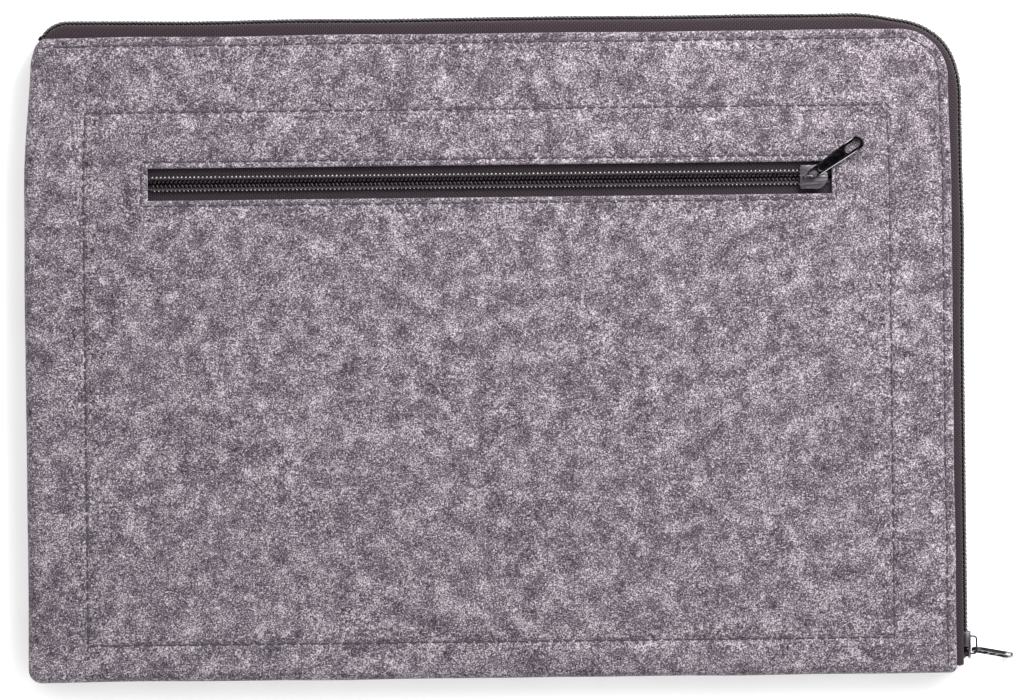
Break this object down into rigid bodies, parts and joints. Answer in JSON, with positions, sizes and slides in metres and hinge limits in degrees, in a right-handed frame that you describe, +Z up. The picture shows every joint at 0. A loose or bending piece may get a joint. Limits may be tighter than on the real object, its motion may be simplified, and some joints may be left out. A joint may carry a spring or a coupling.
{
  "type": "laptop sleeve",
  "caption": "Flat padded felt laptop sleeve with an L-shaped edge zip on two sides and a zipped front pocket.",
  "frame": {"origin": "middle of the back panel's underside, on the surface the sleeve lies on", "axes": "+X across the width to the zip's right side, +Y up the height to the zip's top side, +Z up through the front panel"},
  "size_m": [0.3672, 0.2462, 0.0205],
  "materials": {
    "felt": "heathered grey needle felt, matt",
    "pocket_cloth": "thin dark woven lining, matt",
    "zip_tape": "black woven polyester tape",
    "zip_coil": "black nylon monofilament",
    "filler_cord": "black twisted cord",
    "slider_metal": "black nickel on die-cast zinc, glossy",
    "sewing_thread": "dark grey sewing thread"
  },
  "bodies": {
    "sleeve": {"front_panel": "felt", "back_panel": "felt", "pocket_bag": "pocket_cloth", "main_tape_front": "zip_tape", "main_tape_back": "zip_tape", "main_coil_front": "zip_coil", "main_coil_back": "zip_coil", "main_filler_cord_front": "filler_cord", "main_filler_cord_back": "filler_cord", "main_top_stop_front": "slider_metal", "main_top_stop_back": "slider_metal", "pocket_tape_upper": "zip_tape", "pocket_tape_lower": "zip_tape", "pocket_coil_upper": "zip_coil", "pocket_coil_lower": "zip_coil", "pocket_filler_cord_upper": "filler_cord", "pocket_filler_cord_lower": "filler_cord", "front_zip_seam_thread": "sewing_thread", "back_zip_seam_thread": "sewing_thread", "pocket_bag_thread": "sewing_thread", "pocket_slot_thread": "sewing_thread", "side_seam_thread": "sewing_thread"},
    "main_slider": {"main_slider_body": "slider_metal"},
    "main_tab": {"main_pull_tab": "slider_metal"},
    "pocket_slider": {"pocket_slider_body": "slider_metal"},
    "pocket_tab": {"pocket_pull_tab": "slider_metal"}
  },
  "joints": [
    {"name": "main_slider_slide", "type": "slide", "parent": "sleeve", "child": "main_slider", "axis": [0, 1, 0], "range_m": [0, 0.19]},
    {"name": "main_tab_swing", "type": "hinge", "parent": "main_slider", "child": "main_tab", "pos_m": [0.179, -0.1115, 0.009], "axis": [0.4376, 0.2128, 0.8736], "range_deg": [-45, 60]},
    {"name": "pocket_slider_slide", "type": "slide", "parent": "sleeve", "child": "pocket_slider", "axis": [-1, 0, 0], "range_m": [0, 0.24]},
    {"name": "pocket_tab_swing", "type": "hinge", "parent": "pocket_slider", "child": "pocket_tab", "pos_m": [0.1193, 0.0652, 0.0189], "axis": [0.5664, -0.8241, 0], "range_deg": [0, 165]}
  ]
}
